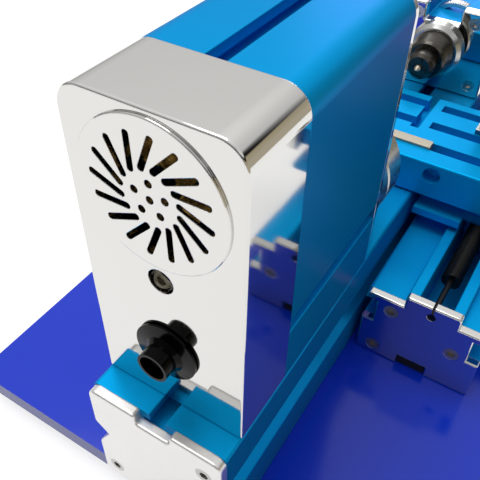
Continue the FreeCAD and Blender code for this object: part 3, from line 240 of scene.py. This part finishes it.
dress(polished, "slide_front_plate", "slide_rear_plate")
dress(nickel, "slide_plate_screws")


# Painted shade in the slide's foot slot: a short strip of black rubber sheet, pushed in from the front.
# It stands in for the shade inside the slot, where otherwise only shade falls.

def make_piece(name, points, faces):
    """New piece from points in millimetres and the faces that join them."""
    mesh = bpy.data.meshes.new(name)
    mesh.from_pydata(points * MM, [], faces)
    piece = bpy.data.objects.new(name, mesh)
    scene.collection.objects.link(piece)
    return piece


def strip(name, low, high):
    """Straight strip: the rectangle between two corners in x and z, carried along y from one to the other."""
    points = np.stack(np.meshgrid(*np.stack([low, high], axis=1), indexing="ij"), axis=-1).reshape(-1, 3)
    faces = [(0, 1, 3, 2), (4, 6, 7, 5), (0, 4, 5, 1), (2, 3, 7, 6), (0, 2, 6, 4), (1, 5, 7, 3)]
    return make_piece(name, points, faces)


slide_low, slide_high = (np.array(corner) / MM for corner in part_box("slide_bed"))
slot_front = np.array([(slide_low[0] + slide_high[0]) / 2, slide_low[1], slide_low[2]])
half_width, front_overhang, length, foot_gap, height = 5.85, 2.4, 24.0, 0.1, 4.85
# The strip is painted shade: a black piece put where the slot's inside lies only in shade.
shade_strip = strip("foot_slot_painted_shade",
                slot_front + (-half_width, -front_overhang, foot_gap),
                slot_front + (half_width, length, height))
shade_strip.data.materials.append(rubber)
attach(shade_strip, "machine")


# Feed screws: steel rods with a rolled thread, turned down where they run in the end plates.
# The slide's screw also has a long thin neck in front of its thread.
# They are blackened in hot salts and oiled, which leaves a near-black metal with a soft shine.

oxide = worked_metal(
    "black_oxide_steel", "#2A2A2B", mark_width=2 * MM, detail=3.0, smooth=0.22, rough=0.38, metallic=0.8)


def turned_skin(name, start, along, stations, radius, ring=False):
    """Skin of a turned piece: a ring of points at each station along the axis, each at its own radius.
    Quads join neighbouring rings. On a hollow ring the last joins the first; else flat faces close it."""
    turn = np.linspace(0, 2 * np.pi, radius.shape[1], endpoint=False)[:, None]
    side = np.roll(along, 1)
    spokes = np.cos(turn) * side + np.sin(turn) * np.cross(along, side)
    points = start + stations[:, None, None] * along + radius[:, :, None] * spokes
    here = np.arange(radius.size).reshape(radius.shape)
    rings = np.concatenate([here, here[:1]]) if ring else here
    there = np.roll(rings, -1, axis=1)
    faces = np.stack([rings[:-1], there[:-1], there[1:], rings[1:]], axis=-1).reshape(-1, 4).tolist()
    ends = [] if ring else [here[0, ::-1].tolist(), here[-1].tolist()]
    piece = make_piece(name, points.reshape(-1, 3), faces + ends)
    piece.data.shade_smooth()
    sharpest_smooth_edge = math.radians(50)
    piece.data.set_sharp_from_angle(angle=sharpest_smooth_edge)
    return piece


def axis_start(node, along):
    """Lower end of a turned node's axis: the middle of its box, but its lowest place along the axis."""
    low, high = (np.array(corner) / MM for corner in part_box(node))
    return np.where(along > 0, low, (low + high) / 2)


def feed_screw(name, node, body, along, lengths):
    """Threaded rod in place of a plain one. Each length has its size, its radius and its thread's depth.
    The radius dips by the depth and returns once per pitch along the rod, and later further round it."""
    pitch, steps_per_pitch, columns = 1.0, 8, 24
    stations, crest, depth, reached = [], [], [], 0.0
    for length, radius, cut in lengths:
        count = round(length / pitch * steps_per_pitch) + 1 if cut else 2
        stations.append(np.linspace(reached, reached + length, count))
        crest.append(np.full(count, radius))
        depth.append(np.full(count, cut))
        reached += length
    stations, crest, depth = (np.concatenate(values) for values in (stations, crest, depth))
    phase = stations[:, None] / pitch - np.arange(columns) / columns
    radius = crest[:, None] - depth[:, None] * (0.5 - 0.5 * np.cos(2 * np.pi * phase))
    piece = turned_skin(name, axis_start(node, along), along, stations, radius)
    piece.data.materials.append(oxide)
    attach(piece, body)
    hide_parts(node)


along_x, along_y = np.eye(3)[:2]
thread_depth = 0.55
front_journal, neck, rear_journal = (3.3, 1.7, 0), (19.0, 1.2, 0), (17.2, 2.6, 0)
slide_thread, cross_thread = (151.6, 4.0, thread_depth), (53.6, 3.0, thread_depth)
feed_screw("rolled_slide_screw", "slide_screw", "slide_feed", along_y,
           (front_journal, neck, slide_thread, rear_journal))
feed_screw("rolled_cross_screw", "cross_screw", "cross_feed", along_x, (cross_thread, rear_journal))


# Handwheels and handles of the two feeds and the quill: turned aluminium with black plastic grips.
# A straight knurl is rolled round each rim, so that fingers hold it without the handle.

def knurled_rim(name, wheel, body, along):
    """Band round a wheel's rim: a ring whose outer radius rises and falls once per ridge round it."""
    rim, root, ridges, points_per_ridge = 14.0, 12.0, 72, 4
    ridge, ridge_middle, ridge_swing = 0.3, 0.6, 0.4
    start, end, bevel = 6.3, 11.7, 0.3
    stations = np.array([start, start, start + bevel, end - bevel, end, end])
    level = np.array([root, rim, rim, rim, rim, root])
    rise = np.array([0, 0, ridge, ridge, 0, 0])
    turn = np.arange(points_per_ridge * ridges) / points_per_ridge
    radius = level[:, None] + rise[:, None] * (ridge_middle - ridge_swing * np.cos(2 * np.pi * turn))
    band = turned_skin(name, axis_start(wheel, along), along, stations, radius, ring=True)
    band.data.materials.append(turned)
    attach(band, body)


knurled_rim("slide_wheel_knurl", "slide_handwheel", "slide_feed", along_y)
knurled_rim("cross_wheel_knurl", "cross_handwheel", "cross_feed", along_x)
knurled_rim("quill_wheel_knurl", "quill_handwheel", "quill_feed", along_y)
dress(turned, "slide_handwheel", "cross_handwheel", "quill_handwheel")
dress(plastic, "slide_handle", "cross_handle", "quill_handle")


# Saddle and cross table: blue extrusions machined for the guide and the tee slots.
# The nut bar lying in the front slot is nickel plated, and the tool post is a ground steel block.
# A buffed plate closes the guide's end and carries the cross screw.

dress(anodised, "saddle", "cross_table")
dress(polished, "saddle_end_plate")
dress(nickel, "slot_nut")
dress(steel, "tool_post")


# Tailstock: a blue extruded body between two buffed plates, keyed into the bed's top slot.
# A black plastic knob clamps it to the bed.

dress(anodised, "tailstock_body")
dress(polished, "tailstock_front_plate", "tailstock_rear_plate")
dress(plastic, "tailstock_lock_knob")


# Drill chuck on the tailstock's quill: hardened steel, ground bright under a brown-grey temper film.
# Its ring and the quill are plain ground steel, and the pointed centre that it holds is nickel plated.

temper = worked_metal(
    "tempered_steel", "#4E4B46", mark_width=1.5 * MM, detail=3.0, smooth=0.22, rough=0.34)
dress(temper, "drill_chuck_body", "drill_chuck_sleeve", "drill_jaw_1", "drill_jaw_2", "drill_jaw_3")
dress(steel, "quill", "drill_chuck_ring")
dress(nickel, "drill_centre")


# Floor: a sheet of matt paper that throws little light back on the sides of what stands on it.
# Seen by eye or in a mirror it is lifted to the white of the surround, and it keeps the shadow.

reach, right_edge = 3000, 500
corners = np.array([(-reach, -reach, 0), (right_edge, -reach, 0), (right_edge, reach, 0), (-reach, reach, 0)])
floor = make_piece("floor", corners, [(0, 1, 2, 3)])
paper, tree, shader = start_material(
    "pale_paper", Base_Color=linear("#A0A0A0"), Roughness=0.9, Emission_Color=linear("#FFFFFF"))
rays = add(tree, "ShaderNodeLightPath")
seen = add(tree, "ShaderNodeMath", {"operation": "MAXIMUM"},
           {0: rays.outputs["Is Camera Ray"], 1: rays.outputs["Is Glossy Ray"]})
lift = add(tree, "ShaderNodeMapRange", {"To Min": 0.0, "To Max": 0.78}, {"Value": seen.outputs["Value"]})
tree.links.new(lift.outputs["Result"], shader.inputs["Emission Strength"])
floor.data.materials.append(paper)


# Surround: a white studio with a broad light overhead, dim low on the right and in front.
# The eye sees it white; mirror faces also show a dark gap over a warm strip of wall, low on the right.

world = bpy.data.worlds.new("studio")
scene.world = world
world.use_nodes = True
tree = world.node_tree
around = add(tree, "ShaderNodeTexCoord").outputs["Generated"]
axes = add(tree, "ShaderNodeSeparateXYZ", {}, {"Vector": around})
up_and_back, nearly_up = (-0.2, 0.3, 0.93), (-0.2, 0.1, 0.97)
bright_side = add(tree, "ShaderNodeVectorMath", {"operation": "DOT_PRODUCT", 1: up_and_back}, {0: around})
overhead = add(tree, "ShaderNodeVectorMath", {"operation": "DOT_PRODUCT", 1: nearly_up}, {0: around})
soft_light = add(tree, "ShaderNodeValToRGB", {}, {"Fac": overhead.outputs["Value"]})
walls = add(tree, "ShaderNodeValToRGB", {}, {"Fac": bright_side.outputs["Value"]})
gap = add(tree, "ShaderNodeValToRGB", {}, {"Fac": axes.outputs["Z"]})

# Each ramp runs straight from stop to stop, and a stop is a position with a grey level or a colour.
warm_foot, warm_wall = (0.5, 0.45, 0.34), (0.42, 0.36, 0.24)
for made, stops in (
        (soft_light, ((0.0, 0.02), (0.5, 0.1), (0.75, 0.87), (1.0, 1.65))),
        (walls, ((0.0, 0.15), (0.25, 0.3), (0.5, 0.62), (0.72, 0.75), (0.8, 0.82), (1.0, 1.1))),
        (gap, ((0.0, warm_foot), (0.24, warm_wall), (0.27, 0.01), (0.42, 0.01), (0.46, 0.5), (0.54, 0.85),
               (0.75, 0.8), (1.0, 0.8)))):
    points = made.color_ramp.elements
    while len(points) < len(stops):
        points.new(0.5)
    for point, (position, colour) in zip(points, stops):
        point.position = position
        point.color = (*np.broadcast_to(colour, 3), 1.0)

# A colour mix takes its factor and its two colours at these inputs, and gives the result at this output.
factor, first, second, mixed = 0, 6, 7, 2
right_side = add(tree, "ShaderNodeMapRange", {"From Min": 0.45, "From Max": 0.62},
                 {"Value": axes.outputs["X"]})
room = add(tree, "ShaderNodeMix", {"data_type": "RGBA"},
           {factor: right_side.outputs["Result"], first: walls.outputs["Color"],
            second: gap.outputs["Color"]})
rays = add(tree, "ShaderNodeLightPath")
mirrored = add(tree, "ShaderNodeMath", {"operation": "MAXIMUM"},
               {0: rays.outputs["Is Glossy Ray"], 1: rays.outputs["Is Transmission Ray"]})
lit = add(tree, "ShaderNodeMix", {"data_type": "RGBA"},
          {factor: mirrored.outputs["Value"], first: soft_light.outputs["Color"],
           second: room.outputs[mixed]})
shown = add(tree, "ShaderNodeMix", {"data_type": "RGBA", second: (1.0, 1.0, 1.0, 1.0)},
            {factor: rays.outputs["Is Camera Ray"], first: lit.outputs[mixed]})
tree.links.new(shown.outputs[mixed], tree.nodes["Background"].inputs["Color"])


# Lamps: a soft lamp high on the left, and a weaker one low behind that rakes the tops.
# Both are square, and both face the middle of the machine.

def soft_lamp(name, place, aim, size, power):
    """Square area lamp at a place, turned to face a point."""
    data = bpy.data.lights.new(name, "AREA")
    data.size = size
    data.energy = power
    lamp = bpy.data.objects.new(name, data)
    turn = (aim - place).to_track_quat("-Z", "Y").to_matrix().to_4x4()
    lamp.matrix_world = Matrix.Translation(place) @ turn
    scene.collection.objects.link(lamp)


middle = Vector((0.02, 0, 0.06))
soft_lamp("key", Vector((-0.36, -0.05, 1.44)), middle, size=0.7, power=7.0)
soft_lamp("back", Vector((-0.37, 1.27, 0.52)), middle, size=0.5, power=2.8)


# Camera: where the photograph was taken from, close to the tower's front and above it.
# The focal length was found in pixels of the square picture.

azimuth, elevation, roll = (math.radians(angle) for angle in (31.41, 42.98, 1.09))
level = math.cos(elevation)
ahead = Vector((-math.sin(azimuth) * level, math.cos(azimuth) * level, -math.sin(elevation)))
across = Vector((math.cos(azimuth), math.sin(azimuth), 0))
above = across.cross(ahead)
right = across * math.cos(roll) + above * math.sin(roll)
up = above * math.cos(roll) - across * math.sin(roll)
eye = Vector((64.51, -238.76, 234.34)) * MM
focal_pixels, picture_pixels, sensor = 628.48, 480, 36.0
camera_data = bpy.data.cameras.new("camera")
camera_data.sensor_width = sensor
camera_data.lens = focal_pixels * sensor / picture_pixels
camera_data.clip_start = 5 * MM
camera = bpy.data.objects.new("camera", camera_data)
camera.matrix_world = Matrix.Translation(eye) @ Matrix((right, up, -ahead)).transposed().to_4x4()
scene.collection.objects.link(camera)
scene.camera = camera
